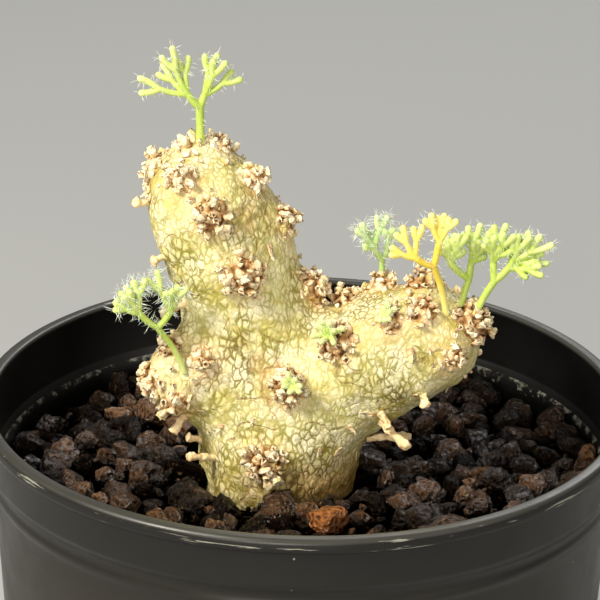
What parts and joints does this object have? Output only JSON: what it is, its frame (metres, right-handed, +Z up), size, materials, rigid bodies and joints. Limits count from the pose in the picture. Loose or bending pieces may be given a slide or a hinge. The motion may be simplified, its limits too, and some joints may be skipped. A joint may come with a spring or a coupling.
{
  "type": "potted monsonia",
  "caption": "Dwarf caudex monsonia with two fat knobbly branches and finely divided leaves, in a round black plastic pot of dark grit.",
  "frame": {"origin": "centre of the circle that the pot stands on", "axes": "+Z up; +X to the side of the low branch; -Y is the front of the plant"},
  "size_m": [0.09, 0.09, 0.1309],
  "materials": {
    "black_plastic": "satin black injection-moulded polypropylene",
    "dark_grit": "rough porous dark brown volcanic grit",
    "orange_grit": "rough fired orange-brown clay grit",
    "bark": "waxy cream bark with an olive-green net of fine cracks",
    "corky_leaf_base": "dry corky leaf bases, cream to tan",
    "dry_stalk": "dry pinkish-tan leaf stalks",
    "green_leaf": "fleshy light green leaf with fine white hairs",
    "blue_green_leaf": "fleshy pale blue-green leaf with dense white hairs",
    "yellow_leaf": "fleshy ageing yellow leaf with sparse hairs",
    "new_leaf": "fresh folded green leaf lobes"
  },
  "bodies": {
    "root": {"pot": "black_plastic", "grit_bed": "dark_grit", "caudex": "bark", "stone_orange": "orange_grit", "stone_left": "dark_grit", "stone_front": "dark_grit", "stone_right": "dark_grit", "stone_back": "dark_grit", "stone_back_left": "dark_grit", "spur_crown": "corky_leaf_base", "spur_crown_left": "corky_leaf_base", "spur_crown_right": "corky_leaf_base", "spur_crown_front": "corky_leaf_base", "spur_tall_right_high": "corky_leaf_base", "spur_tall_front_high": "corky_leaf_base", "spur_tall_right": "corky_leaf_base", "spur_tall_front": "corky_leaf_base", "spur_crotch": "corky_leaf_base", "spur_low_inner": "corky_leaf_base", "spur_low_top": "corky_leaf_base", "spur_low_top_tip": "corky_leaf_base", "spur_low_cup": "corky_leaf_base", "spur_low_front": "corky_leaf_base", "spur_low_front_tip": "corky_leaf_base", "spur_low_end": "corky_leaf_base", "spur_low_end_stub": "corky_leaf_base", "spur_knob_top": "corky_leaf_base", "spur_knob_end": "corky_leaf_base", "spur_knob_inner": "corky_leaf_base", "spur_knob_under": "corky_leaf_base", "spur_trunk_front": "corky_leaf_base", "spur_trunk_low": "corky_leaf_base", "spur_back_high": "corky_leaf_base", "spur_back_left": "corky_leaf_base", "spur_back_middle": "corky_leaf_base", "spur_back_low": "corky_leaf_base", "spur_back_tip": "corky_leaf_base", "spur_back_trunk": "corky_leaf_base", "peg_tall_left_high": "dry_stalk", "peg_tall_left": "dry_stalk", "peg_tall_left_low": "dry_stalk", "peg_crotch": "dry_stalk", "peg_low_under": "dry_stalk", "peg_low_middle": "dry_stalk", "peg_right_front": "dry_stalk", "peg_right_rod": "dry_stalk", "peg_knob_under": "dry_stalk", "peg_foot_left": "dry_stalk", "peg_foot_left_front": "dry_stalk", "peg_foot_front": "dry_stalk", "peg_back": "dry_stalk", "leaf_crown": "green_leaf", "leaf_knob": "green_leaf", "leaf_low_inner": "blue_green_leaf", "leaf_yellow": "yellow_leaf", "leaf_low_middle": "green_leaf", "leaf_low_end": "green_leaf", "sprout_low_cup": "new_leaf", "sprout_trunk_front": "new_leaf", "sprout_low_front": "new_leaf"}
  },
  "joints": []
}
